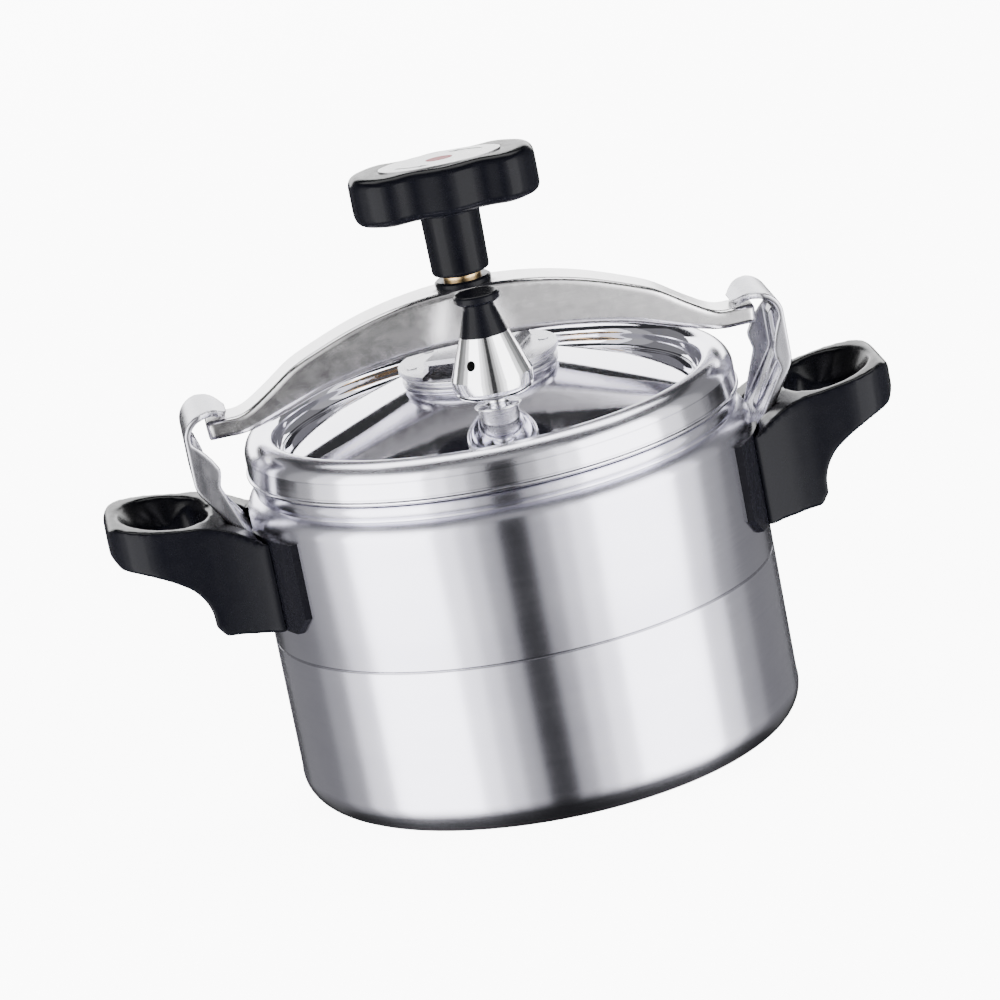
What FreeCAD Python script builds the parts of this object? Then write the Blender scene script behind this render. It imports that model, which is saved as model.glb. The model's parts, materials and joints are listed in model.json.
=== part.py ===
"""Stovetop pressure cooker: drawn aluminium pot, clamp bow with a hand screw, weighted valve.

Millimetres. Z is up, the origin is the centre of the pot's base, and X runs along the bow.
Each function builds one node. Pieces on the left are the right ones turned half a turn.
"""
import math
import os

import FreeCAD
import Part

# ---------------------------------------------------------------- driving dimensions
POT_R = 120.0                 # outside radius of the pot's wall
WALL = 3.0                    # pot wall
BASE = 5.0                    # thicker pot floor
FOOT_R = 110.0                # radius of the flat face that the pot stands on
HEEL_Z = 16.0                 # height where the rounded heel meets the straight wall
SCRIBE_Z = 81.0               # scribed line round the body
SHOULDER_Z = 143.0            # top of the straight wall
COLLAR_R = 115.4              # rolled collar under the lid
COLLAR_Z = (152.6, 158.6)
NECK_R = 111.5                # neck that stands up inside the lid's skirt
POT_RIM_Z = 171.0             # sealing rim of the pot

LID_R = 116.5                 # outside of the lid's skirt
LID_SHEET = 2.4
SKIRT_Z = 160.0               # lower edge of the skirt
SKIRT_TOP_Z = 169.5           # where the skirt rounds over
CREST_R = 105.0               # highest ring of the lid's edge
CREST_Z = 178.6
DISH_R = 99.5                 # foot of the crest's inner wall
DISH_Z = 168.2
CROWN_R = 39.0                # flat middle of the lid
CROWN_Z = 188.0

DISC_R = 37.0                 # pressure disc on the lid's crown
DISC_TOP_Z = 193.7
BRIDGE_R = 38.0               # raised bridge that holds the spindle's foot
BRIDGE_SHEET = 2.2
BRIDGE_HALF = 20.0            # half width of its raised middle
BRIDGE_TOP_Z = 200.9
BRIDGE_TURN = -23.0           # the bridge runs this many degrees from the Y axis

BOW_HALF_WIDTH = 13.5
BOW_REACH = 131.0             # half length over the tongues
TONGUE_TOP_Z = 193.2
TONGUE_BOTTOM_Z = 184.4
BOW_TOP_Z = 230.6
BOW_BOTTOM_Z = 204.6
BUSH_R = 9.0
THREAD_R = 7.0
RUNNING_FIT = 0.05            # radial clearance of shafts in bushes
SPINDLE_FOOT_R = 10.5
SPINDLE_NECK_R = 5.0

HUB_R = 13.6
HUB_Z = (236.2, 269.0)
KNOB_Z = (267.0, 290.0)
KNOB_HALF_LENGTH = 44.0
KNOB_HALF_DEPTH = 22.0
LABEL_HALF = (29.0, 15.0)

HOOK_SHEET = 3.0
HOOK_HALF = 21.5              # half width of a hook bracket
HOOK_OUT = 142.6              # outside of its upright
HOOK_REST_Z = 197.6           # height of the path round the top of the hook
TAB_X = POT_R + 0.1           # inner face of the tab on the pot's wall

SADDLE_HALF_ANGLE = 30.0
SADDLE_SHEET = 2.6
SADDLE_Z = (96.5, 141.0)
HANDLE_REACH = 187.5
RIVET_R = 2.5
RIVET_PLACES = [(-14.0, 130.0), (14.0, 130.0), (0.0, 104.0)]     # (y, z) on each tab
SCREW_R = 2.5
SCREW_PLACES = [(-13.0, 113.0), (13.0, 113.0)]

VALVE_Y = -60.0               # weighted valve, in front of the screw
SAFETY_Y = 60.0               # spring safety valve, behind it
PIPE_R = 5.0
SEAT_RISE = 4.0               # valve seats stand this far above the cone at their centres
WEIGHT_BOTTOM_Z = 190.6
WEIGHT_JOINT_Z = 219.4         # where the chrome body meets the black grip
WEIGHT_TOP_Z = 238.6
LIFT_GAP = 0.3                # daylight between curved faces of different bodies

V = FreeCAD.Vector
Z_AXIS = V(0, 0, 1)


# ---------------------------------------------------------------- outlines and solids
def in_xz(point):
    return V(point[0], 0, point[1])


def in_xy(point):
    return V(point[0], point[1], 0)


def outline(place, start, *steps):
    """A closed face. A step is the next point, or (middle point, end point) for an arc."""
    edges = []
    here = start
    for step in steps + (start,):
        if isinstance(step[0], tuple):
            middle, end = step
            edges.append(Part.Arc(place(here), place(middle), place(end)).toShape())
        else:
            end = step
            if place(here).distanceToPoint(place(end)) < 1e-6:
                continue
            edges.append(Part.LineSegment(place(here), place(end)).toShape())
        here = end
    return Part.Face(Part.Wire(edges))


def turned(start, *steps):
    """Turn an outline of (radius, height) points about the Z axis."""
    return outline(in_xz, start, *steps).revolve(V(0, 0, 0), Z_AXIS, 360)


def slab_y(y_low, y_high, start, *steps):
    """Extrude an outline of (x, z) points from y_low to y_high."""
    face = outline(in_xz, start, *steps)
    face.translate(V(0, y_low, 0))
    return face.extrude(V(0, y_high - y_low, 0))


def slab_z(z_low, z_high, start, *steps):
    """Extrude an outline of (x, y) points from z_low to z_high."""
    face = outline(in_xy, start, *steps)
    face.translate(V(0, 0, z_low))
    return face.extrude(V(0, 0, z_high - z_low))


def rod(radius, z_low, z_high, x=0.0, y=0.0):
    return Part.makeCylinder(radius, z_high - z_low, V(x, y, z_low), Z_AXIS)


def tube(outer, inner, z_low, z_high, x=0.0, y=0.0):
    return rod(outer, z_low, z_high, x, y).cut(rod(inner, z_low - 1, z_high + 1, x, y))


def rod_x(radius, x_low, x_high, y, z):
    return Part.makeCylinder(radius, x_high - x_low, V(x_low, y, z), V(1, 0, 0))


def box(x, y, z):
    return Part.makeBox(x[1] - x[0], y[1] - y[0], z[1] - z[0], V(x[0], y[0], z[0]))


def hexagon(across, z_low, z_high, x=0.0, y=0.0):
    corner = across / math.sqrt(3)
    turns = [math.radians(60 * i) for i in range(6)]
    points = [(x + corner * math.cos(t), y + corner * math.sin(t)) for t in turns]
    return slab_z(z_low, z_high, *points)


def moved(shape, x, y, z):
    shape = shape.copy()
    shape.translate(V(x, y, z))
    return shape


def turned_about_z(shape, degrees):
    shape = shape.copy()
    shape.rotate(V(0, 0, 0), Z_AXIS, degrees)
    return shape


def softened(shape, radius, wanted):
    """Fillet the edges for which wanted(edge) is true."""
    return shape.makeFillet(radius, [e for e in shape.Edges if wanted(e)])


def group(pieces):
    return Part.makeCompound(pieces)


def bent_strip(corners, radii, thickness, y_low, y_high):
    """Sheet metal: a path of (x, z) corners with bend radii, as thick as stated to its left."""
    sides = []
    for offset in (0.0, thickness):
        edges = []
        first = None
        here = None
        for i, corner in enumerate(corners):
            if 0 < i < len(corners) - 1:
                before = unit(corners[i - 1], corner)
                after = unit(corner, corners[i + 1])
                turn = math.atan2(before[0] * after[1] - before[1] * after[0],
                                  before[0] * after[0] + before[1] * after[1])
                reach = radii[i] * math.tan(abs(turn) / 2)
                side = 1 if turn > 0 else -1
                centre = (corner[0] - before[0] * reach - side * before[1] * radii[i],
                          corner[1] - before[1] * reach + side * before[0] * radii[i])
                radius = radii[i] - side * offset
                start_angle = math.atan2(-side * before[0], side * before[1])
                points = [(centre[0] + radius * math.cos(start_angle + part * turn),
                           centre[1] + radius * math.sin(start_angle + part * turn))
                          for part in (0, 0.5, 1)]
                edges.append((here, points[0]))
                edges.append(tuple(points))
                here = points[2]
            else:
                along = unit(corners[max(i - 1, 0)], corners[max(i, 1)])
                point = (corner[0] - along[1] * offset, corner[1] + along[0] * offset)
                if i == 0:
                    here = first = point
                else:
                    edges.append((here, point))
                    here = point
        sides.append((first, edges, here))
    (start_a, edges_a, end_a), (start_b, edges_b, end_b) = sides
    shapes = []
    for edge in edges_a + edges_b + [(end_a, end_b), (start_a, start_b)]:
        points = [in_xz(p) for p in edge]
        shape = Part.LineSegment(*points) if len(points) == 2 else Part.Arc(*points)
        shapes.append(shape.toShape())
    wire = Part.Wire(Part.__sortEdges__(shapes))
    face = Part.Face(wire)
    face.translate(V(0, y_low, 0))
    return face.extrude(V(0, y_high - y_low, 0))


def unit(a, b):
    length = math.hypot(b[0] - a[0], b[1] - a[1])
    return ((b[0] - a[0]) / length, (b[1] - a[1]) / length)


# ---------------------------------------------------------------- pot
def pot_body():
    heel = POT_R - FOOT_R
    diagonal = math.sqrt(0.5)
    outside = turned(
        (0, 0), (FOOT_R, 0),
        ((FOOT_R + heel * diagonal, HEEL_Z * (1 - diagonal)), (POT_R, HEEL_Z)),
        (POT_R, SCRIBE_Z - 0.6), (POT_R - 0.5, SCRIBE_Z), (POT_R, SCRIBE_Z + 0.6),
        (POT_R, SHOULDER_Z),
        ((POT_R - 1.6, SHOULDER_Z + 5.2), (COLLAR_R - 0.9, COLLAR_Z[0] - 1.0)),
        (COLLAR_R - 0.9, COLLAR_Z[0]),
        ((COLLAR_R, sum(COLLAR_Z) / 2), (COLLAR_R - 0.9, COLLAR_Z[1])),
        (NECK_R, COLLAR_Z[1]), (NECK_R, POT_RIM_Z - 2),
        ((NECK_R - 2 * (1 - diagonal), POT_RIM_Z - 2 * (1 - diagonal)), (NECK_R - 2, POT_RIM_Z)),
        (0, POT_RIM_Z))
    inner_heel = 5.0
    mouth_r = NECK_R - WALL - 1.0
    inside = turned(
        (0, BASE), (POT_R - WALL - inner_heel, BASE),
        ((POT_R - WALL - inner_heel * (1 - diagonal), BASE + inner_heel * (1 - diagonal)),
         (POT_R - WALL, BASE + inner_heel)),
        (POT_R - WALL, SHOULDER_Z - 1),
        ((POT_R - WALL - 2.6, SHOULDER_Z + 5.0), (mouth_r, SHOULDER_Z + 9.5)),
        (mouth_r, POT_RIM_Z + 1), (0, POT_RIM_Z + 1))
    body = outside.cut(inside)
    holes = [rod_x(RIVET_R, POT_R - 2 * WALL, POT_R + 1, y, z) for y, z in RIVET_PLACES]
    for hole in holes:
        body = body.cut(hole).cut(turned_about_z(hole, 180))
    return body


def bracket_rivets():
    """Three flanged rivets a side, through the pot's wall and the tab of the hook bracket."""
    pieces = []
    head_r = 4.6
    for y, z in RIVET_PLACES:
        inside_x = math.sqrt((POT_R - WALL) ** 2 - (abs(y) + head_r) ** 2) - 1.4
        tab_out = TAB_X + HOOK_SHEET
        rivet = rod_x(RIVET_R, inside_x, tab_out + 0.2, y, z)
        rivet = rivet.fuse(rod_x(head_r, inside_x, inside_x + 1.4, y, z))
        rivet = rivet.fuse(rod_x(head_r, tab_out, tab_out + 1.4, y, z)).removeSplitter()
        rivet = softened(rivet, 0.7, lambda e: e.isClosed() and abs(e.Curve.Radius - head_r) < 0.1
                         and (abs(e.CenterOfMass.x - inside_x) < 0.1
                              or abs(e.CenterOfMass.x - tab_out - 1.4) < 0.1))
        pieces += [rivet, turned_about_z(rivet, 180)]
    return group(pieces)


def hook_bracket():
    """Pressed bracket: tab on the wall, slope, upright, and a lip that curls over the bow."""
    inner = HOOK_OUT - HOOK_SHEET
    path = [(TAB_X, 98.0), (TAB_X, 136.0), (inner, 165.5), (inner, HOOK_REST_Z), (inner - 12, HOOK_REST_Z),
            (inner - 17.5, HOOK_REST_Z - 3.7)]
    path = [(x, z) for x, z in reversed(path)]
    radii = [0, 7.0, 8.5, 11.0, 6.0, 0]
    web = bent_strip(path, radii, HOOK_SHEET, -HOOK_HALF, HOOK_HALF)
    rounded = slab_z(90, 230, (110, -12), (121, -12 + 4), ((126, -HOOK_HALF + 5), (134, -HOOK_HALF)),
                     (160, -HOOK_HALF), (160, HOOK_HALF), (134, HOOK_HALF),
                     ((126, HOOK_HALF - 5), (121, 8)), (110, 12))
    keep_low = box((100, 170), (-40, 40), (80, 186))
    web = web.common(rounded.fuse(keep_low))
    flange_t = 2.5
    pieces = web
    for side, depth in ((-1, 5.0), (1, 10.5)):
        y_low = side * HOOK_HALF - (flange_t if side > 0 else 0)
        flange = slab_y(y_low, y_low + flange_t,
                        (inner + 1, 189.0), (inner + 1, 165.0), (TAB_X + 3.2, 138.5),
                        (TAB_X + 0.8, 138.5),
                        (inner - depth + 1.5, 161.0 + depth * 0.35),
                        (inner - depth, 166.0 + depth * 0.5), (inner - depth, 173.0),
                        ((inner - depth * 0.5, 181.5), (inner, 187.0)))
        pieces = pieces.fuse(flange)
    rib = slab_y(-5, 5, (inner + 0.2, 190.0), (inner - 2.4, 186.0), (inner - 2.4, 168.5),
                 (TAB_X + 3.4, 143.0), (TAB_X + 6.0, 142.5), (inner + 1.0, 165.5))
    bracket = pieces.fuse(rib).removeSplitter()
    for y, z in RIVET_PLACES:
        bracket = bracket.cut(rod_x(RIVET_R, TAB_X - 1, TAB_X + 5, y, z))
    for y, z in SCREW_PLACES:
        bracket = bracket.cut(rod_x(SCREW_R, TAB_X - 1, TAB_X + 5, y, z))
    return bracket


def wrapped(outer, inner, half_angle, z_low, z_high, corner):
    """A piece of a cylinder's wall facing +X with its lower corners cut off."""
    half = outer * math.sin(math.radians(half_angle))
    window = outline(lambda p: V(0, p[0], p[1]), (-half, z_high), (-half, z_low + corner),
                     (-half + corner, z_low), (half - corner, z_low), (half, z_low + corner),
                     (half, z_high)).extrude(V(POT_R * 2, 0, 0))
    return tube(outer, inner, z_low - 1, z_high + 1).common(window)


def saddle():
    """Curved plate between the handle and the pot, open at the top round the hook's tab."""
    plate = wrapped(POT_R + 0.1 + SADDLE_SHEET, POT_R + 0.1, SADDLE_HALF_ANGLE,
                    SADDLE_Z[0], SADDLE_Z[1], 8.5)
    return plate.cut(box((100, 140), (-HOOK_HALF - 1, HOOK_HALF + 1), (97.0, 160)))


def funnel(low, high):
    """Lofted oval passage between two (x, half length along x, half width, z) ovals."""
    wires = []
    for x, half_x, half_y, z in (low, high):
        turn = 0 if half_x > half_y else 90
        ellipse = Part.Ellipse(V(0, 0, 0), max(half_x, half_y), min(half_x, half_y)).toShape()
        ellipse.rotate(V(0, 0, 0), Z_AXIS, turn)
        ellipse.translate(V(x, 0, z))
        wires.append(Part.Wire(ellipse))
    return Part.makeLoft(wires, True)


def handle():
    """Moulded loop handle: a block against the pot and a bar round a dished finger hole."""
    top_y = 44.0
    side = slab_y(-top_y, top_y,
                  (105, 94.5), (142.5, 98.0), (146.5, 103.0),
                  ((148.2, 115.0), (157.0, 125.5)),
                  ((167.0, 131.5), (183.0, 136.5)),
                  (HANDLE_REACH, 142.0), (HANDLE_REACH, 150.5),
                  ((186.0, 155.0), (181.0, 156.5)),
                  (150.0, 151.6), ((136.0, 149.2), (126.0, 144.6)), (118, 139.6), (105, 139.6))
    plan = slab_z(80, 170,
                  (100, -43.5), (116, -43.5), ((130.0, -39.0), (144.0, -37.0)), (160, -37.5),
                  ((179.5, -31.0), (HANDLE_REACH, -14.0)), (HANDLE_REACH, 14.0),
                  ((179.5, 31.0), (160, 37.5)), (144.0, 37.0), ((130.0, 39.0), (116, 43.5)),
                  (100, 43.5))
    block = side.common(plan)
    hole = slab_z(80, 170, (146.0, -19.0), ((148.5, -24.0), (153.0, -25.0)),
                  ((165.5, -19.0), (169.5, 0.0)), ((165.5, 19.0), (153.0, 25.0)),
                  ((148.5, 24.0), (146.0, 19.0)))
    block = block.cut(hole).cut(funnel((158.0, 12.2, 23.5, 139.0), (157.0, 27.0, 35.0, 161.0)))
    block = block.cut(funnel((160.0, 20.0, 31.5, 124.0), (158.0, 12.0, 23.0, 141.0)))
    saddle_r = POT_R + 0.1 + SADDLE_SHEET
    block = block.cut(rod(saddle_r, 80, 170))
    block = block.cut(box((100, TAB_X + HOOK_SHEET + 2.2), (-HOOK_HALF - 0.6, HOOK_HALF + 0.6),
                          (97.0, 137.0)))
    block = block.cut(slab_y(-HOOK_HALF - 0.6, HOOK_HALF + 0.6, (100, 136.9),
                             (TAB_X + HOOK_SHEET + 2.2, 136.9), (TAB_X + 18.0, 158.0), (100, 158.0)))
    for y, z in SCREW_PLACES:
        block = block.cut(rod_x(SCREW_R + 0.2, 110, 160, y, z))
        block = block.cut(rod_x(5.2, 139.0, 165, y, z))
    return block


def handle_screws():
    """Two pan-head screws a handle, from the block's outer face into the hook's tab."""
    pieces = []
    for y, z in SCREW_PLACES:
        shank = rod_x(SCREW_R, TAB_X, 140.0, y, z)
        head = rod_x(4.8, 139.0, 142.4, y, z)
        head = softened(head, 1.2, lambda e: abs(e.CenterOfMass.x - 142.4) < 0.1 and e.isClosed())
        slot = box((141.2, 144), (y - 4, y + 4), (z - 0.5, z + 0.5))
        cross = box((141.2, 144), (y - 0.5, y + 0.5), (z - 4, z + 4))
        screw = head.fuse(shank).removeSplitter().cut(slot).cut(cross)
        pieces += [screw, turned_about_z(screw, 180)]
    return group(pieces)


# ---------------------------------------------------------------- lid
def lid_height(radius):
    """Top of the lid's cone at a radius."""
    share = (DISH_R - 2.0 - radius) / (DISH_R - 2.0 - CROWN_R)
    return DISH_Z - 0.6 + share * (CROWN_Z - DISH_Z + 0.6)


def lid_channel():
    """Space under the lid's rolled edge, where the gasket and the pot's neck go."""
    t = LID_SHEET
    return turned(
        (LID_R - t, SKIRT_Z - 1), (LID_R - t, SKIRT_TOP_Z),
        ((LID_R - t - 2.2, CREST_Z - t - 2.0), (CREST_R + 1.6, CREST_Z - t)),
        (CREST_R + 1.4, SKIRT_Z + 5.6), (CREST_R - 0.6, SKIRT_Z - 1))


def lid_shell():
    t = LID_SHEET
    outside = turned(
        (0, SKIRT_Z), (LID_R + 0.5, SKIRT_Z), ((LID_R + 1.0, SKIRT_Z + 0.9), (LID_R, SKIRT_Z + 1.8)),
        (LID_R, SKIRT_TOP_Z), ((LID_R - 3.0, CREST_Z - 2.4), (CREST_R + 1.5, CREST_Z)),
        ((CREST_R - 2.0, CREST_Z - 1.6), (CREST_R - 3.6, CREST_Z - 4.8)),
        ((DISH_R + 1.2, DISH_Z + 2.0), (DISH_R, DISH_Z)),
        (DISH_R - 1.0, DISH_Z), (DISH_R - 1.2, DISH_Z - 0.6), (DISH_R - 2.0, DISH_Z - 0.6),
        (CROWN_R, CROWN_Z), (0, CROWN_Z))
    below = turned(
        (0, SKIRT_Z - 1), (CREST_R - 2.6, SKIRT_Z - 1), (CREST_R - 2.6, DISH_Z - t - 3.0),
        (DISH_R - 2.0, DISH_Z - t - 0.6), (CROWN_R, CROWN_Z - t), (0, CROWN_Z - t))
    shell = outside.cut(lid_channel()).cut(below)
    shell = shell.cut(rod(PIPE_R, 150, 200, 0, VALVE_Y))
    return shell.cut(rod(4.0, 150, 200, 0, SAFETY_Y))


def lid_gasket():
    """Rubber ring that fills the lid's channel above the pot's rim."""
    outer = LID_R - LID_SHEET
    ring = turned((CREST_R, POT_RIM_Z), (outer - 1.5, POT_RIM_Z), (outer, POT_RIM_Z + 1.5),
                  (outer, POT_RIM_Z + 3.8), (CREST_R, POT_RIM_Z + 3.8))
    return ring.common(lid_channel())


def pressure_disc():
    """Turned disc that takes the screw's load, grooved round its edge."""
    disc = turned((0, CROWN_Z), (DISC_R - 0.6, CROWN_Z), (DISC_R, CROWN_Z + 0.6),
                  (DISC_R, CROWN_Z + 1.7), (DISC_R - 2.4, CROWN_Z + 2.2),
                  (DISC_R - 2.4, CROWN_Z + 3.4), (DISC_R, CROWN_Z + 3.9),
                  (DISC_R, DISC_TOP_Z - 0.5), (DISC_R - 0.5, DISC_TOP_Z), (0, DISC_TOP_Z))
    for x, y in bridge_rivet_places():
        disc = disc.cut(rod(RIVET_R, CROWN_Z - 1, DISC_TOP_Z + 1, x, y))
    return disc


def bridge_rivet_places():
    places = []
    for x in (-28.5, 28.5):
        for y in (-14.0, 14.0):
            turn = math.radians(BRIDGE_TURN)
            places.append((x * math.cos(turn) - y * math.sin(turn),
                           x * math.sin(turn) + y * math.cos(turn)))
    return places


def foot_bridge():
    """Hat-shaped bridge over the spindle's foot, with round flanges on the pressure disc."""
    t = BRIDGE_SHEET
    low, high, half = DISC_TOP_Z, BRIDGE_TOP_Z, BRIDGE_HALF
    hat = slab_y(-60, 60,
                 (-60, low), (-half + t, low), (-half + t + 1.0, high - t),
                 (half - t - 1.0, high - t), (half - t, low), (60, low), (60, low + t),
                 (half + 0.6, low + t), ((half - 0.2, low + t + 0.4), (half - 0.5, low + t + 1.0)),
                 (half - 1.2, high - 1.2), ((half - 1.5, high - 0.3), (half - 2.4, high)),
                 (-half + 2.4, high), ((-half + 1.5, high - 0.3), (-half + 1.2, high - 1.2)),
                 (-half + 0.5, low + t + 1.0), ((-half + 0.2, low + t + 0.4), (-half - 0.6, low + t)),
                 (-60, low + t))
    hat = hat.common(rod(BRIDGE_R, low - 1, high + 1))
    hat = hat.cut(box((-half - 1, half + 1), (-60, -24), (low + t, high + 1)))
    hat = hat.cut(box((-half - 1, half + 1), (24, 60), (low + t, high + 1)))
    keyhole = rod(SPINDLE_NECK_R + 0.4, low, high + 1).fuse(
        box((-SPINDLE_NECK_R - 0.4, SPINDLE_NECK_R + 0.4), (0, 60), (low, high + 1)))
    hat = hat.cut(keyhole)
    hat = turned_about_z(hat, BRIDGE_TURN)
    for x, y in bridge_rivet_places():
        hat = hat.cut(rod(RIVET_R, low - 1, high + 1, x, y))
    return hat


def bridge_rivets():
    """Four flush rivets through the bridge, the disc and the lid."""
    pieces = []
    for x, y in bridge_rivet_places():
        pieces.append(rod(RIVET_R, CROWN_Z, DISC_TOP_Z + BRIDGE_SHEET + 0.3, x, y))
    return group(pieces)


def vent_pipe():
    """Steel pipe through the lid that the weight sits on."""
    z_lid = lid_height(abs(VALVE_Y))
    seat_z = z_lid + SEAT_RISE
    pipe = turned((1.5, z_lid - 14), (PIPE_R, z_lid - 14), (PIPE_R, seat_z), (10.6, seat_z),
                  (11.0, seat_z + 0.4), (10.6, seat_z + 1.0), (6.4, seat_z + 1.4),
                  (PIPE_R, seat_z + 2.6), (4.4, WEIGHT_BOTTOM_Z + 10),
                  (2.0, WEIGHT_BOTTOM_Z + 14), (1.5, WEIGHT_BOTTOM_Z + 14))
    return moved(pipe, 0, VALVE_Y, 0)


def seat_washer(radius, x, y, bore):
    """Round washer whose lower face follows the lid's cone, so that it seats all round."""
    z_lid = lid_height(abs(y))
    ring = tube(radius, bore, z_lid - 6, z_lid + SEAT_RISE, x, y)
    under = turned((0, 150), (DISH_R, 150), (DISH_R, DISH_Z - 0.6), (DISH_R - 2.0, DISH_Z - 0.6),
                   (CROWN_R, CROWN_Z), (0, CROWN_Z))
    return ring.cut(under)


def vent_washer():
    return seat_washer(9.4, 0, VALVE_Y, PIPE_R)


def under_lid_nut(across, bore, y, depth):
    """Hexagon nut under the lid, trimmed to the underside of its cone."""
    z_lid = lid_height(abs(y))
    nut = hexagon(across, z_lid - depth, z_lid + 2, 0, y).cut(rod(bore, 150, 200, 0, y))
    above = turned((0, CROWN_Z - LID_SHEET), (CROWN_R, CROWN_Z - LID_SHEET),
                   (DISH_R - 2.0, DISH_Z - LID_SHEET - 0.6), (DISH_R - 2.0, 210), (0, 210))
    return nut.cut(above)


def vent_nut():
    return under_lid_nut(15.0, PIPE_R, VALVE_Y, 10.0)


def safety_valve_body():
    """Brass body of the spring safety valve, with a cage for its pin."""
    z_lid = lid_height(abs(SAFETY_Y))
    seat = z_lid + SEAT_RISE
    body = turned((1.6, z_lid - 11), (4.0, z_lid - 11), (4.0, seat), (7.0, seat),
                  (7.0, seat + 2.5), (6.0, seat + 3.3), (6.0, seat + 7.1), (5.2, seat + 7.9),
                  (2.2, seat + 7.9), (2.2, seat + 6.7), (4.4, seat + 6.7), (4.4, seat + 0.7),
                  (1.6, seat + 0.7))
    return moved(body, 0, SAFETY_Y, 0)


def safety_valve_pin():
    floor = lid_height(abs(SAFETY_Y)) + SEAT_RISE + 0.7
    pin = turned((0, floor), (2.6, floor), (4.0, floor + 1.0), (4.0, floor + 1.6),
                 (2.2 - RUNNING_FIT, floor + 1.6), (2.2 - RUNNING_FIT, floor + 8.8),
                 (1.6, floor + 9.4), (0, floor + 9.4))
    return moved(pin, 0, SAFETY_Y, 0)


def safety_valve_washer():
    return seat_washer(7.6, 0, SAFETY_Y, 4.0)


def safety_valve_nut():
    return under_lid_nut(12.0, 4.0, SAFETY_Y, 8.5)


def safety_valve_spring():
    """Coil spring round the pin, inside the cage."""
    z_low = lid_height(abs(SAFETY_Y)) + SEAT_RISE + 0.7 + 1.6
    wire_r = 0.6
    coil_r = 3.3
    pitch = 1.55
    height = 3.1
    helix = Part.makeHelix(pitch, height, coil_r)
    section = Part.Wire(Part.Circle(V(coil_r, 0, 0), V(0, 1, 0), wire_r).toShape())
    spring = Part.Wire(helix).makePipeShell([section], True, True)
    return moved(Part.Solid(spring), 0, SAFETY_Y, z_low + wire_r)


# ---------------------------------------------------------------- weighted valve
def weight_body():
    """Chromed conical weight with a hollow that drops over the vent pipe."""
    z0 = WEIGHT_BOTTOM_Z
    joint = WEIGHT_JOINT_Z
    cone = turned((0, z0), (13.6, z0), ((17.0, z0 + 1.2), (18.6, z0 + 4.2)), (18.9, z0 + 9.6),
                  (11.3, joint), (0, joint))
    hollow = rod(PIPE_R + LIFT_GAP, z0 - 1, z0 + 12)
    throat = turned((0, z0 + 12), (PIPE_R + LIFT_GAP, z0 + 12), (0, z0 + 17.5))
    vent = rod_x(2.3, 0, 30, 0, 0)
    vent.rotate(V(0, 0, 0), Z_AXIS, -128)
    vent.translate(V(0, 0, z0 + 17.6))
    vent = vent.cut(rod(7.5, z0 + 10, z0 + 25))
    weight = cone.cut(hollow).cut(throat).cut(vent)
    socket = rod(4.0, joint - 7.0, joint + 1)
    return moved(weight.cut(socket), 0, VALVE_Y, 0)


def weight_cap():
    """Black grip on the weight: a cone, a neck and a round flange."""
    joint = WEIGHT_JOINT_Z
    top = WEIGHT_TOP_Z
    cap = turned((0, joint), (11.3, joint), (7.4, joint + 12.0), (7.2, top - 5.2),
                 ((9.0, top - 4.6), (10.8, top - 3.2)), (10.8, top - 1.4),
                 ((10.2, top - 0.4), (9.0, top)), (0, top))
    cap = cap.cut(rod(4.0, joint - 1, joint + 7.0))
    return moved(cap, 0, VALVE_Y, 0)


def weight_stud():
    """Steel stud that joins the grip to the weight."""
    return rod(4.0, WEIGHT_JOINT_Z - 7.0, WEIGHT_JOINT_Z + 7.0, 0, VALVE_Y)


# ---------------------------------------------------------------- bow
def bow_side():
    """Side view of the bow: an arch with flat tongues, drawn with smooth curves."""
    top = [(120.0, TONGUE_TOP_Z), (113.5, 193.9), (105.5, 198.0), (96.0, 204.3), (87.9, 209.8),
           (77.0, 214.8), (56.5, 222.3), (27.0, 228.8)]
    low = [(121.0, TONGUE_BOTTOM_Z), (112.0, 184.9), (103.0, 187.2), (90.0, 191.1), (76.0, 195.9),
           (57.3, 200.1), (31.0, 203.7)]
    top_points = [in_xz(p) for p in top] + [V(0, 0, BOW_TOP_Z)]
    top_points += [V(-x, 0, z) for x, z in reversed(top)]
    low_points = [in_xz(p) for p in low] + [V(0, 0, BOW_BOTTOM_Z)]
    low_points += [V(-x, 0, z) for x, z in reversed(low)]
    curves = []
    for points in (top_points, low_points):
        curve = Part.BSplineCurve()
        curve.interpolate(points)
        curves.append(curve.toShape())
    corners_right = [in_xz(p) for p in (top[0], (BOW_REACH, TONGUE_TOP_Z),
                                        (BOW_REACH, TONGUE_BOTTOM_Z), low[0])]
    corners_left = [V(-p.x, 0, p.z) for p in corners_right]
    lines = []
    for corners in (corners_right, corners_left):
        for a, b in zip(corners, corners[1:]):
            lines.append(Part.LineSegment(a, b).toShape())
    return Part.Face(Part.Wire(Part.__sortEdges__(curves + lines)))


def bow():
    face = bow_side()
    face.translate(V(0, -BOW_HALF_WIDTH, 0))
    arch = face.extrude(V(0, 2 * BOW_HALF_WIDTH, 0))

    def on_side(edge):
        flat = abs(abs(edge.CenterOfMass.y) - BOW_HALF_WIDTH) < 0.01
        return flat and edge.BoundBox.YLength < 0.01

    arch = softened(arch, 2.6, on_side)
    pad = turned((0, BOW_TOP_Z - 4), (15.5, BOW_TOP_Z - 4), (14.0, BOW_TOP_Z), (0, BOW_TOP_Z))
    arch = arch.fuse(pad.common(box((-20, 20), (-BOW_HALF_WIDTH, BOW_HALF_WIDTH), (200, 240))))
    arch = arch.removeSplitter()
    return arch.cut(rod(BUSH_R, 190, 240))


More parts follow.
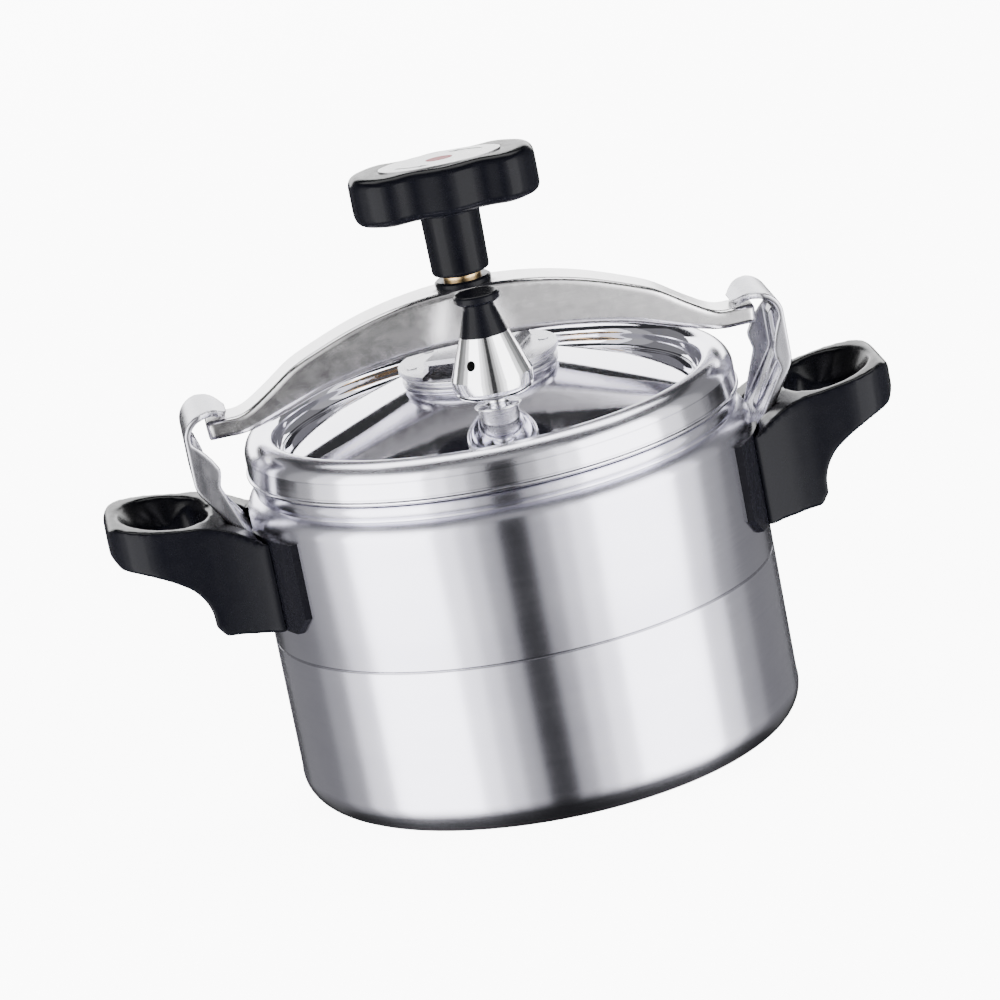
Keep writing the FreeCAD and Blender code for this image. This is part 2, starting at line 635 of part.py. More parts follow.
def bow_bush():
    """Brass thread bush pressed into the bow."""
    ring = turned((THREAD_R + RUNNING_FIT, BOW_BOTTOM_Z + 0.8), (BUSH_R, BOW_BOTTOM_Z + 0.8),
                  (BUSH_R, HUB_Z[0] - 0.9), (BUSH_R - 0.6, HUB_Z[0] - LIFT_GAP),
                  (THREAD_R + RUNNING_FIT, HUB_Z[0] - LIFT_GAP))
    return ring


def bow_collar():
    """Black collar round the bush on top of the bow."""
    return turned((BUSH_R, BOW_TOP_Z), (13.2, BOW_TOP_Z), (13.4, BOW_TOP_Z + 0.5),
                  (13.4, BOW_TOP_Z + 2.0), (12.4, BOW_TOP_Z + 2.9), (BUSH_R, BOW_TOP_Z + 2.9))


def thrust_washer():
    """Washer under the spindle's foot, on which the bow and screw swing round."""
    return tube(SPINDLE_FOOT_R, 3.0, DISC_TOP_Z, DISC_TOP_Z + 1.2)


# ---------------------------------------------------------------- spindle and knob
def spindle():
    """Steel screw: foot held under the bridge, neck, thread and tang for the knob."""
    foot_z = DISC_TOP_Z + 1.2
    return turned((0, foot_z), (SPINDLE_FOOT_R - 1, foot_z), (SPINDLE_FOOT_R, foot_z + 0.8),
                  (SPINDLE_FOOT_R, foot_z + 2.4), (SPINDLE_NECK_R, foot_z + 3.2),
                  (SPINDLE_NECK_R, BRIDGE_TOP_Z + 0.6), (THREAD_R, BRIDGE_TOP_Z + 2.2),
                  (THREAD_R, HUB_Z[0] + 14), (5.0, HUB_Z[0] + 15.5), (5.0, 286.0), (4.2, 287.0),
                  (0, 287.0))


def knob_plan(half_length, half_depth, z_low, z_high):
    """Bar with full round ends and soft lobes along its sides, as one closed curve."""
    count = 28
    squareness = 0.62
    lobe = 0.085
    points = []
    for i in range(count):
        turn = 2 * math.pi * i / count
        x = math.copysign(abs(math.cos(turn)) ** squareness, math.cos(turn))
        y = math.copysign(abs(math.sin(turn)) ** squareness, math.sin(turn))
        points.append(V(half_length * x, half_depth * y * (1 + lobe * math.cos(3 * math.pi * x)), z_low))
    curve = Part.BSplineCurve()
    curve.interpolate(points, PeriodicFlag=True)
    return Part.Face(Part.Wire(curve.toShape())).extrude(V(0, 0, z_high - z_low))


def oval(half_length, half_depth, z_low, z_high):
    ellipse = Part.Ellipse(V(0, 0, z_low), half_length, half_depth).toShape()
    return Part.Face(Part.Wire(ellipse)).extrude(V(0, 0, z_high - z_low))


def knob():
    """Moulded grip with its hub, hollow for the spindle and its nut."""
    bar = knob_plan(KNOB_HALF_LENGTH, KNOB_HALF_DEPTH, KNOB_Z[0], KNOB_Z[1])
    bar = softened(bar, 5.0, lambda e: e.BoundBox.ZLength < 0.01)
    hub = turned((0, HUB_Z[0]), (HUB_R - 0.6, HUB_Z[0]), (HUB_R, HUB_Z[0] + 0.6),
                 (HUB_R + 0.5, HUB_Z[1]), (0, HUB_Z[1]))
    grip = bar.fuse(hub).removeSplitter()
    bore = rod(THREAD_R, HUB_Z[0] - 1, HUB_Z[0] + 15.5).fuse(rod(5.0, HUB_Z[0], 292))
    pocket = hexagon(16.2, 279.0, 292)
    seat = oval(LABEL_HALF[0], LABEL_HALF[1], KNOB_Z[1] - 0.7, KNOB_Z[1] + 2)
    return grip.cut(bore).cut(pocket).cut(seat)


def knob_nut():
    return hexagon(16.0, 279.0, 286.0).cut(rod(5.0, 270, 292))


def knob_label():
    """Oval plate that closes the nut's pocket."""
    return oval(LABEL_HALF[0], LABEL_HALF[1], KNOB_Z[1] - 0.7, KNOB_Z[1] + 0.5)


# ---------------------------------------------------------------- write every node
def nodes():
    right = {"hook_bracket": hook_bracket(), "saddle": saddle(), "handle": handle()}
    pieces = {
        "pot_body": pot_body(), "bracket_rivets": bracket_rivets(),
        "handle_screws": handle_screws(),
        "lid_shell": lid_shell(), "lid_gasket": lid_gasket(), "pressure_disc": pressure_disc(),
        "foot_bridge": foot_bridge(), "bridge_rivets": bridge_rivets(),
        "vent_pipe": vent_pipe(), "vent_washer": vent_washer(), "vent_nut": vent_nut(),
        "safety_valve_body": safety_valve_body(), "safety_valve_pin": safety_valve_pin(),
        "safety_valve_washer": safety_valve_washer(), "safety_valve_nut": safety_valve_nut(),
        "safety_valve_spring": safety_valve_spring(),
        "weight_body": weight_body(), "weight_cap": weight_cap(), "weight_stud": weight_stud(),
        "bow": bow(), "bow_bush": bow_bush(), "bow_collar": bow_collar(),
        "thrust_washer": thrust_washer(), "spindle": spindle(), "knob": knob(),
        "knob_nut": knob_nut(), "knob_label": knob_label(),
    }
    for name, shape in right.items():
        pieces[name + "_right"] = shape
        pieces[name + "_left"] = turned_about_z(shape, 180)
    return pieces


def main():
    os.makedirs("parts", exist_ok=True)
    for name, shape in nodes().items():
        solids = shape.Solids
        piece = solids[0] if len(solids) == 1 else group(solids)
        piece.exportStep("parts/" + name + ".step")
        print("%-22s %d solid(s) valid %s volume %.0f" % (name, len(solids), piece.isValid(),
                                                          piece.Volume))


main()
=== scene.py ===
"""Stovetop pressure cooker: looks, light and camera. Metres, in the CAD model's frame."""
import json
import math

import bmesh
import bpy
from mathutils import Matrix, Vector

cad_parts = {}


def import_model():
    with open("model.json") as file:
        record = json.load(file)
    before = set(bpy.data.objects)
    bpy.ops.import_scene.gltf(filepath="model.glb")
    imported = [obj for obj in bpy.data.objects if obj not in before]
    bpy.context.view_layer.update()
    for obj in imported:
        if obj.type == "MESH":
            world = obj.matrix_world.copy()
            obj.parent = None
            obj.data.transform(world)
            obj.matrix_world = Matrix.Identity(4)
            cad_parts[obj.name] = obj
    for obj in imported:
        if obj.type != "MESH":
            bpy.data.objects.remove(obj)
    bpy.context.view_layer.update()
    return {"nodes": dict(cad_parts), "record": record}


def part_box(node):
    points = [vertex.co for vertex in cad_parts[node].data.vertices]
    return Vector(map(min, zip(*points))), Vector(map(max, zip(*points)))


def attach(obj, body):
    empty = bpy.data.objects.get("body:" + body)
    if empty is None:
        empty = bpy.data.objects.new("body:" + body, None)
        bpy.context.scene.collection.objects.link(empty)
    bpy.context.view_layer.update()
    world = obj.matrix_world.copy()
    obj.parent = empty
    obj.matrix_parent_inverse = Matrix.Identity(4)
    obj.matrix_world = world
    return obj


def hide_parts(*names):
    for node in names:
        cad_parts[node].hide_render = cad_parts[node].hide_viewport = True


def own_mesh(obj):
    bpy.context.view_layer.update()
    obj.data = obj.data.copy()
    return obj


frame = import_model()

MM = 0.001
SCRIBE_Z = 81.0 * MM                         # height of the line scribed round the pot
LID_CREST_R = 105.0 * MM                     # radius at the top of the lid's rolled edge
LID_LINES_Z = (162.6 * MM, 170.4 * MM)       # fine turned lines round the lid's edge
VALVE_Y = -60.0 * MM                         # the axis of the vent pipe and weight
VENT_AZIMUTH = -128                          # degrees: where the weight's steam vent faces
VENT_RISE = 17.6 * MM                        # the vent's height above the weight's bottom
VENT_R = 2.3 * MM
VENT_DEPTH = 10.6 * MM                       # the dark plug's middle, from the weight's axis
VENT_SHADE_LENGTH = 3.0 * MM                       # the dark plug's length
BOW_TAPER = 0.16                             # how much narrower the bow is at its tongues
PRINT = 0.05 * MM                            # how far the print on the knob's plate stands up
NODES = frame["nodes"]
BODY_OF = {n: b for b, names in frame["record"]["behaviour"]["bodies"].items() for n in names}


# ---------------------------------------------------------------- shader helpers
class Shader:
    """A Principled material with short calls for the nodes that feed it."""

    def __init__(self, name, **constants):
        self.material = bpy.data.materials.new(name)
        self.material.use_nodes = True
        self.tree = self.material.node_tree
        self.bsdf = next(n for n in self.tree.nodes if n.type == "BSDF_PRINCIPLED")
        for key, value in constants.items():
            self.bsdf.inputs[key.replace("_", " ")].default_value = value

    def node(self, kind, **inputs):
        made = self.tree.nodes.new(kind)
        for key, value in inputs.items():
            socket = made.inputs[int(key[1:])] if key[0] == "i" and key[1:].isdigit() \
                else made.inputs[key.replace("_", " ")]
            if isinstance(value, bpy.types.NodeSocket):
                self.tree.links.new(value, socket)
            else:
                socket.default_value = value
        return made

    def math(self, operation, a, b=0.0):
        made = self.node("ShaderNodeMath", i0=a, i1=b)
        made.operation = operation
        return made.outputs[0]

    def place(self):
        """Object coordinates, in metres: x, y and z."""
        split = self.node("ShaderNodeSeparateXYZ",
                          Vector=self.node("ShaderNodeTexCoord").outputs["Object"])
        return split.outputs

    def point(self, x, y, z):
        return self.node("ShaderNodeCombineXYZ", X=x, Y=y, Z=z).outputs[0]

    def round_place(self, x0=0.0, y0=0.0):
        """Radius and angle about the vertical axis at (x0, y0), and height."""
        x, y, z = self.place()
        dx, dy = self.math("SUBTRACT", x, x0), self.math("SUBTRACT", y, y0)
        radius = self.math("SQRT", self.math("ADD", self.math("MULTIPLY", dx, dx),
                                             self.math("MULTIPLY", dy, dy)))
        return radius, self.math("ARCTAN2", dy, dx), z

    def noise(self, vector, scale, detail=3.0, roughness=0.55):
        made = self.node("ShaderNodeTexNoise", Vector=vector, Scale=scale, Detail=detail,
                         Roughness=roughness)
        return made.outputs["Fac"]

    def span(self, value, low, high, to_low=0.0, to_high=1.0):
        made = self.node("ShaderNodeMapRange", Value=value)
        for i, number in enumerate((low, high, to_low, to_high)):
            made.inputs[i + 1].default_value = number
        return made.outputs[0]

    def mix(self, share, a, b):
        made = self.tree.nodes.new("ShaderNodeMix")
        made.data_type = "RGBA"
        for socket, value in zip((made.inputs[0], made.inputs[6], made.inputs[7]), (share, a, b)):
            if isinstance(value, bpy.types.NodeSocket):
                self.tree.links.new(value, socket)
            else:
                socket.default_value = (*value, 1) if isinstance(value, tuple) else value
        return made.outputs[2]

    def feed(self, name, value):
        self.tree.links.new(value, self.bsdf.inputs[name])

    def bump(self, height, strength, depth):
        made = self.node("ShaderNodeBump", Height=height, Strength=strength, Distance=depth)
        self.feed("Normal", made.outputs[0])

    def turned_about_z(self):
        """The grain of a lathe: highlights stretch across the turning marks."""
        tangent = self.tree.nodes.new("ShaderNodeTangent")
        tangent.direction_type = "RADIAL"
        tangent.axis = "Z"
        self.feed("Tangent", tangent.outputs[0])
        self.bsdf.inputs["Anisotropic Rotation"].default_value = 0.25


# ---------------------------------------------------------------- materials
def turned_metal(name, light, dark, rough, spread, grain, anisotropy, centre=(0.0, 0.0),
                 lines=900.0):
    """Lathe-turned or spun metal: rings of fine grain, faint handling marks and soft stains."""
    s = Shader(name, Metallic=1.0, Anisotropic=anisotropy)
    radius, angle, z = s.round_place(*centre)
    rings = s.noise(s.point(s.math("MULTIPLY", radius, lines), s.math("MULTIPLY", angle, 0.4),
                            s.math("MULTIPLY", z, lines)), 1.0, 4.0, 0.7)
    broad = s.noise(s.point(s.math("MULTIPLY", radius, 60.0), s.math("MULTIPLY", angle, 1.2),
                            s.math("MULTIPLY", z, 60.0)), 1.0)
    wear_and_shade_edge = s.noise(s.node("ShaderNodeTexCoord").outputs["Object"], 34.0, 6.0, 0.65)
    tone = s.math("ADD", s.math("MULTIPLY", rings, 0.35),
                  s.math("ADD", s.math("MULTIPLY", broad, 0.3), s.math("MULTIPLY", wear_and_shade_edge, 0.35)))
    s.feed("Base Color", s.mix(s.span(tone, 0.36, 0.64), dark, light))
    s.feed("Roughness", s.span(s.math("ADD", s.math("MULTIPLY", rings, 0.6),
                                      s.math("MULTIPLY", wear_and_shade_edge, 0.4)),
                               0.3, 0.7, rough - spread, rough + spread))
    s.bump(rings, grain, 0.05 * MM)
    if anisotropy:
        s.turned_about_z()
    return s


def pot_metal():
    s = turned_metal("pot_aluminium_drawn", (0.86, 0.848, 0.955), (0.76, 0.748, 0.86),
                     0.24, 0.03, 0.14, 0.9)
    _, _, z = s.place()
    colour = s.bsdf.inputs["Base Color"].links[0].from_socket
    # Painted shade: the heel is darker towards the bottom, a painted reflection of dark ground
    # beneath the pot, with a ragged noisy edge.
    wear_and_shade_edge = s.noise(s.node("ShaderNodeTexCoord").outputs["Object"], 60.0, 5.0)
    height = s.math("ADD", z, s.math("MULTIPLY", s.math("SUBTRACT", wear_and_shade_edge, 0.5), 2.5 * MM))
    heel_painted_shade = s.span(height, 9.0 * MM, 15.0 * MM, 1.0, 0.0)
    # Painted shade in the scribed groove: a dark line along it.
    groove_painted_shade = s.span(s.math("ABSOLUTE", s.math("SUBTRACT", z, SCRIBE_Z)), 0.45 * MM, 1.0 * MM,
                    1.0, 0.0)
    dark = s.math("MAXIMUM", s.math("MULTIPLY", heel_painted_shade, 0.72), s.math("MULTIPLY", groove_painted_shade, 0.45))
    s.feed("Base Color", s.mix(dark, colour, (0.13, 0.13, 0.14)))
    return s.material


def lid_metal():
    """Satin turned edge and a mirror-polished cone inside the rolled crest."""
    s = turned_metal("lid_aluminium_polished", (0.88, 0.87, 0.95), (0.78, 0.77, 0.86),
                     0.2, 0.04, 0.28, 0.8, lines=800.0)
    radius, _, z = s.round_place()
    satin = s.bsdf.inputs["Roughness"].links[0].from_socket
    outside = s.span(radius, LID_CREST_R - 2 * MM, LID_CREST_R + 1 * MM)
    mirror = s.math("MULTIPLY", satin, 0.3)
    s.feed("Roughness", s.math("ADD", mirror, s.math("MULTIPLY", outside,
                                                    s.math("SUBTRACT", satin, mirror))))
    colour = s.bsdf.inputs["Base Color"].links[0].from_socket
    shade = s.math("MAXIMUM", *[s.span(s.math("ABSOLUTE", s.math("SUBTRACT", z, line)),
                                       0.15 * MM, 0.5 * MM, 0.4, 0.0) for line in LID_LINES_Z])
    s.feed("Base Color", s.mix(s.math("MULTIPLY", shade, outside), colour, (0.25, 0.25, 0.28)))
    return s.material


def cast_metal():
    s = Shader("bow_aluminium_cast", Metallic=1.0)
    place = s.node("ShaderNodeTexCoord").outputs["Object"]
    grain = s.noise(place, 1500.0, 4.0, 0.7)
    skin = s.noise(place, 150.0, 5.0, 0.6)
    x, y, z = s.place()
    strokes = s.noise(s.point(s.math("MULTIPLY", x, 60.0), s.math("MULTIPLY", y, 1500.0),
                              s.math("MULTIPLY", z, 900.0)), 1.0, 3.0)
    s.feed("Base Color", s.mix(s.span(s.math("ADD", s.math("MULTIPLY", skin, 0.6),
                                             s.math("MULTIPLY", strokes, 0.4)), 0.35, 0.65),
                               (0.80, 0.785, 0.80), (0.90, 0.885, 0.89)))
    s.feed("Roughness", s.span(s.math("ADD", s.math("MULTIPLY", grain, 0.5),
                                      s.math("MULTIPLY", skin, 0.5)), 0.35, 0.65, 0.17, 0.28))
    height = s.math("ADD", s.math("MULTIPLY", grain, 0.5), s.math("MULTIPLY", skin, 0.8))
    s.bump(height, 0.2, 0.08 * MM)
    return s.material


def pressed_steel(name, tint, shade, rough):
    """Polished pressing: smooth, with faint draw lines and small dents."""
    s = Shader(name, Metallic=1.0)
    x, y, z = s.place()
    place = s.node("ShaderNodeTexCoord").outputs["Object"]
    draw = s.noise(s.point(s.math("MULTIPLY", x, 250.0), s.math("MULTIPLY", y, 1200.0),
                           s.math("MULTIPLY", z, 90.0)), 1.0, 3.0)
    dents = s.noise(place, 90.0, 4.0)
    s.feed("Base Color", s.mix(s.span(s.math("ADD", s.math("MULTIPLY", draw, 0.5),
                                             s.math("MULTIPLY", dents, 0.5)), 0.25, 0.75),
                               shade, tint))
    s.feed("Roughness", s.span(draw, 0.3, 0.7, rough - 0.03, rough + 0.05))
    s.bump(s.math("ADD", dents, s.math("MULTIPLY", draw, 0.1)), 0.05, 0.05 * MM)
    return s.material


def moulded(name, colour, rough, speckle=0.25):
    """Compression-moulded plastic: glossy skin, slight waviness, fine scuffs and worn edges."""
    s = Shader(name, Specular_IOR_Level=0.09)
    place = s.node("ShaderNodeTexCoord").outputs["Object"]
    fine = s.noise(place, 1800.0, 3.0, 0.6)
    broad = s.noise(place, 120.0, 5.0, 0.6)
    edge = s.node("ShaderNodeNewGeometry").outputs["Pointiness"]
    worn = s.math("MULTIPLY", s.span(edge, 0.52, 0.60), s.span(broad, 0.35, 0.7))
    light = tuple(c * 1.6 + 0.0008 for c in colour)
    base = s.mix(s.math("MULTIPLY", s.span(broad, 0.4, 0.75), speckle), colour, light)
    s.feed("Base Color", s.mix(s.math("MULTIPLY", worn, 0.2), base, light))
    s.feed("Roughness", s.span(s.math("ADD", s.math("MULTIPLY", fine, 0.45),
                                      s.math("MULTIPLY", broad, 0.55)),
                               0.32, 0.68, rough - 0.07, rough + 0.1))
    s.bump(s.math("ADD", s.math("MULTIPLY", fine, 0.12), broad), 0.08, 0.08 * MM)
    return s.material


def rubber():
    s = Shader("gasket_rubber_matt", Specular_IOR_Level=0.3)
    place = s.node("ShaderNodeTexCoord").outputs["Object"]
    fine = s.noise(place, 900.0, 4.0)
    s.feed("Base Color", s.mix(s.span(fine, 0.35, 0.65), (0.035, 0.035, 0.037),
                               (0.07, 0.07, 0.07)))
    s.feed("Roughness", s.span(fine, 0.3, 0.7, 0.7, 0.9))
    s.bump(fine, 0.3, 0.1 * MM)
    return s.material


MATERIALS = {
    "pot_aluminium": pot_metal(),
    "lid_aluminium": lid_metal(),
    "bow_aluminium": cast_metal(),
    "hook_metal": pressed_steel("hook_metal_polished", (0.62, 0.615, 0.66), (0.44, 0.435, 0.48),
                                0.26),
    "bright_steel": turned_metal("bright_steel_turned", (0.60, 0.595, 0.635), (0.44, 0.435, 0.475),
                                 0.27, 0.06, 0.2, 0.0).material,
    "chrome": turned_metal("chrome_polished", (0.93, 0.93, 0.95), (0.86, 0.86, 0.88),
                           0.11, 0.03, 0.08, 0.0, (0.0, VALVE_Y)).material,
    "brass": turned_metal("brass_turned", (0.78, 0.56, 0.30), (0.58, 0.38, 0.17),
                          0.24, 0.08, 0.4, 0.0).material,
    "bakelite": moulded("bakelite_black", (0.0018, 0.0019, 0.003), 0.2),
    "dark_plate": moulded("dark_plate_satin", (0.0022, 0.0022, 0.0034), 0.24, 0.1),
    "gasket_rubber": rubber(),
    "label_metal": pressed_steel("label_silver", (0.88, 0.88, 0.88), (0.78, 0.78, 0.79), 0.3),
}
SLOT_OF = {p["node"]: p["material_slot"] for p in frame["record"]["subparts"]}


def dress(obj, slot):
    obj.data.materials.clear()
    obj.data.materials.append(MATERIALS[slot])


for node_name, cad_object in NODES.items():
    dress(cad_object, SLOT_OF[node_name])


# ---------------------------------------------------------------- mesh helpers
def finished(mesh_object, node_name):
    """Put a new piece in its CAD node's place: finish, body and slot."""
    slot = SLOT_OF[node_name]
    if not mesh_object.data.materials:
        mesh_object.data.materials.append(MATERIALS[slot])
    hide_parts(node_name)
    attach(mesh_object, BODY_OF[node_name])
    return mesh_object


def new_object(name, mesh):
    obj = bpy.data.objects.new(name, mesh)
    bpy.context.scene.collection.objects.link(obj)
    return obj


def apply_modifiers(obj):
    """Bake an object's modifiers into its mesh."""
    graph = bpy.context.evaluated_depsgraph_get()
    mesh = bpy.data.meshes.new_from_object(obj.evaluated_get(graph))
    obj.modifiers.clear()
    obj.data = mesh


def soft_copy(node_name, voxel, rounds):
    """The CAD shape with its edges rounded over. The voxel is in mm; more rounds are softer."""
    source = NODES[node_name]
    obj = new_object(node_name + "_soft", source.data.copy())
    obj.matrix_world = source.matrix_world
    weld = obj.modifiers.new("weld", "WELD")
    weld.merge_threshold = 0.01 * MM
    remesh = obj.modifiers.new("remesh", "REMESH")
    remesh.mode = "VOXEL"
    remesh.voxel_size = voxel * MM
    remesh.use_smooth_shade = True
    smooth = obj.modifiers.new("smooth", "SMOOTH")
    smooth.factor = 0.5
    smooth.iterations = rounds
    apply_modifiers(obj)
    obj.data.shade_smooth()
    obj.data.materials.clear()
    return finished(obj, node_name)


def section_loops(node_name, centre, around):
    """Closed or open runs of (radius, height) where a half plane through an axis cuts a node."""
    source = bmesh.new()
    source.from_mesh(NODES[node_name].data)
    bmesh.ops.remove_doubles(source, verts=source.verts, dist=0.004 * MM)
    outward = Vector((math.cos(around), math.sin(around), 0))
    axis_point = Vector((*centre, 0))
    cut = bmesh.ops.bisect_plane(source, geom=[*source.verts, *source.edges, *source.faces],
                                 dist=1e-7, plane_co=axis_point,
                                 plane_no=Vector((-math.sin(around), math.cos(around), 0)))
    flat = {}
    for edge in (g for g in cut["geom_cut"] if isinstance(g, bmesh.types.BMEdge)):
        ends = [((v.co - axis_point).dot(outward), v.co.z) for v in edge.verts]
        if min(e[0] for e in ends) > -1e-6:
            a, b = [(round(max(r, 0.0), 7), round(z, 7)) for r, z in ends]
            if a != b:
                flat.setdefault(a, set()).add(b)
                flat.setdefault(b, set()).add(a)
    source.free()
    runs = []
    while flat:
        start = next((p for p in flat if len(flat[p]) == 1), next(iter(flat)))
        run, here = [start], start
        while flat.get(here):
            step = flat[here].pop()
            flat[step].discard(here)
            if not flat[here]:
                del flat[here]
            run.append(step)
            here = step
        flat = {p: near for p, near in flat.items() if near}
        runs.append(run)
    return runs


def straightened(run, slack):
    """Leave out points that lie on a straight line between their neighbours."""
    kept = [run[0]]
    for i in range(1, len(run) - 1):
        a, b, c = Vector(kept[-1]), Vector(run[i]), Vector(run[i + 1])
        along = (c - a).normalized()
        if abs((b - a).x * along.y - (b - a).y * along.x) > slack:
            kept.append(run[i])
    return kept + [run[-1]]


SECTION_AT = math.radians(45)                # clear of the rivet holes in the pot's wall


def respun(node_name, centre=(0.0, 0.0), segments=288, bevel=0.2):
    """A turned part spun again from its CAD section, finely, with small rounded edges."""
    mesh = bmesh.new()
    turns = [2 * math.pi * i / segments for i in range(segments)]
    for run in section_loops(node_name, centre, SECTION_AT):
        closed = run[0] == run[-1]
        points = straightened(run, 0.004 * MM)
        if closed:
            points = points[:-1]
        rings = []
        for radius, z in points:
            if radius < 1e-6:
                rings.append([mesh.verts.new((*centre, z))] * segments)
            else:
                rings.append([mesh.verts.new((centre[0] + radius * math.cos(t),
                                              centre[1] + radius * math.sin(t), z))
                              for t in turns])
        pairs = list(zip(rings, rings[1:])) + ([(rings[-1], rings[0])] if closed else [])
        for low_ring, high_ring in pairs:
            for i in range(segments):
                j = (i + 1) % segments
                corners = [low_ring[i], low_ring[j], high_ring[j], high_ring[i]]
                corners = [v for k, v in enumerate(corners) if v not in corners[:k]]
                if len(corners) > 2:
                    mesh.faces.new(corners)
    bmesh.ops.recalc_face_normals(mesh, faces=mesh.faces)
    made = bpy.data.meshes.new(node_name + "_spun")
    mesh.to_mesh(made)
    mesh.free()
    obj = new_object(node_name + "_spun", made)
    rounding = obj.modifiers.new("edges", "BEVEL")
    rounding.width = bevel * MM
    rounding.segments = 2
    rounding.limit_method = "ANGLE"
    rounding.angle_limit = math.radians(33)
    apply_modifiers(obj)
    obj.data.shade_smooth()
    obj.data.set_sharp_from_angle(angle=math.radians(40))
    finished(obj, node_name)


respun("pot_body")
respun("lid_shell")
respun("pressure_disc", segments=160)
respun("vent_pipe", (0.0, VALVE_Y), segments=64, bevel=0.12)
for handle_node in ("handle_left", "handle_right"):
    soft_copy(handle_node, 1.0, 14)
soft_copy("knob", 0.8, 10)
bow_piece = soft_copy("bow", 0.9, 5)
bow_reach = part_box("bow")[1].x
for vertex in bow_piece.data.vertices:
    vertex.co.y *= 1 - BOW_TAPER * abs(vertex.co.x) / bow_reach
for hook_node in ("hook_bracket_left", "hook_bracket_right"):
    soft_copy(hook_node, 0.6, 6)


# ---------------------------------------------------------------- the safety valve's spring
def compressing_spring():
    """Coil spring: a copy of the CAD spring in its node's place, with a mesh of its own."""
    source = NODES["safety_valve_spring"]
    spring = new_object("valve_spring", source.data.copy())
    spring.matrix_world = source.matrix_world
    spring.data.materials.clear()
    finished(spring, "safety_valve_spring")
    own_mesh(spring)


compressing_spring()


# ---------------------------------------------------------------- the weight's vent, painted shade inside
def vent_shade_plug():
    """Black plug in the steam vent in the weight's side, a little below its mouth: painted shade
    inside the hole.
    """
    angle = math.radians(VENT_AZIMUTH)
    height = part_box("weight_body")[0].z + VENT_RISE
    bpy.ops.mesh.primitive_cylinder_add(
        vertices=32, radius=VENT_R - 0.02 * MM, depth=VENT_SHADE_LENGTH,
        location=(VENT_DEPTH * math.cos(angle), VALVE_Y + VENT_DEPTH * math.sin(angle), height),
        rotation=(0, math.pi / 2, angle))
    shade_plug = bpy.context.object
    shade_plug.name = "vent_shade_plug"
    shade_plug.data.materials.clear()
    shade_plug.data.materials.append(moulded("vent_painted_shade", (0.002, 0.002, 0.002), 0.6))
    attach(shade_plug, BODY_OF["weight_body"])


vent_shade_plug()


# ---------------------------------------------------------------- marks on the knob's plate
def ink(name, colour):
    s = Shader(name, Specular_IOR_Level=0.4)
    place = s.node("ShaderNodeTexCoord").outputs["Object"]
    spots = s.noise(place, 700.0, 3.0)
    s.feed("Base Color", s.mix(s.span(spots, 0.35, 0.7), colour, tuple(c * 1.7 for c in colour)))
    s.feed("Roughness", s.span(spots, 0.3, 0.7, 0.3, 0.5))
    return s.material


def flat_shape(name, outlines, material):
    """Thin raised print: each outline is a list of (x, y) in millimetres."""
    mesh = bmesh.new()
    for outline in outlines:
        face = mesh.faces.new([mesh.verts.new((x * MM, y * MM, LABEL_TOP)) for x, y in outline])
        face.normal_update()
        if face.normal.z < 0:
            face.normal_flip()
        raised = bmesh.ops.extrude_face_region(mesh, geom=[face])
        for vertex in (g for g in raised["geom"] if isinstance(g, bmesh.types.BMVert)):
            vertex.co.z += PRINT
    bmesh.ops.recalc_face_normals(mesh, faces=mesh.faces)
    made = bpy.data.meshes.new(name)
    mesh.to_mesh(made)
    mesh.free()
    made.materials.append(material)
    obj = new_object(name, made)
    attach(obj, BODY_OF["knob_label"])


def turn_arrow(start, end, radius_x, radius_y, width):
    """An arc of an oval with an arrow's head at its end. Angles in degrees."""
    steps = 14
    inner, outer = [], []
    for i in range(steps + 1):
        angle = math.radians(start + (end - start) * i / steps)
        c, s = math.cos(angle), math.sin(angle)
        inner.append(((radius_x - width) * c, (radius_y - width) * s))
        outer.append(((radius_x + width) * c, (radius_y + width) * s))
    tip_angle = math.radians(end + math.copysign(13, end - start))
    angle = math.radians(end)
    c, s = math.cos(angle), math.sin(angle)
    head = [((radius_x - 2.6 * width) * c, (radius_y - 2.6 * width) * s),
            (radius_x * math.cos(tip_angle), radius_y * math.sin(tip_angle)),
            ((radius_x + 2.6 * width) * c, (radius_y + 2.6 * width) * s)]
    return inner + head + outer[::-1]


LABEL_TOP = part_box("knob_label")[1].z
flat_shape("label_turn_marks",
           [turn_arrow(20, 62, 22.0, 10.6, 0.6), turn_arrow(200, 242, 22.0, 10.6, 0.6)],
           ink("label_ink_dark", (0.05, 0.05, 0.055)))
flat_shape("label_centre_spot",
           [[(6.4 * math.cos(math.radians(10 * i)), 4.2 * math.sin(math.radians(10 * i)))
             for i in range(36)]],
           ink("label_ink_red", (0.28, 0.02, 0.03)))


# ---------------------------------------------------------------- floor, light and camera
def floor():
    mesh = bpy.data.meshes.new("floor")
    grid = bmesh.new()
    bmesh.ops.create_grid(grid, x_segments=8, y_segments=8, size=9.0)
    grid.to_mesh(mesh)
    grid.free()
    obj = new_object("floor", mesh)
    s = Shader("floor_pale", Specular_IOR_Level=0.2, Emission_Color=(1, 1, 1, 1),
               Emission_Strength=9.0)
    place = s.node("ShaderNodeTexCoord").outputs["Object"]
    s.feed("Base Color", s.mix(s.noise(place, 3.0), (0.86, 0.86, 0.865), (0.90, 0.90, 0.905)))
    s.feed("Roughness", s.span(s.noise(place, 9.0), 0.3, 0.7, 0.7, 0.9))
    mesh.materials.append(s.material)
    obj.visible_glossy = False
    obj.visible_shadow = False


CAMERA_PLACE = Vector((-173.5, -2266.2, 747.5)) * MM
CAMERA_AIM = Vector((-3.1, 0.2, 124.0)) * MM
CAMERA_ROLL = math.radians(-11.26)
CAMERA_SIDE = math.degrees(math.atan2(-170.4, 2266.4))     # where the camera stands, from -Y
LIGHTS_AIM = Vector((0, 0, 0.12))


def facing(place, aim):
    """Where an object stands that looks along its own -Z from a place to an aim."""
    turn = (aim - place).to_track_quat("-Z", "Y").to_matrix().to_4x4()
    return Matrix.Translation(place) @ turn


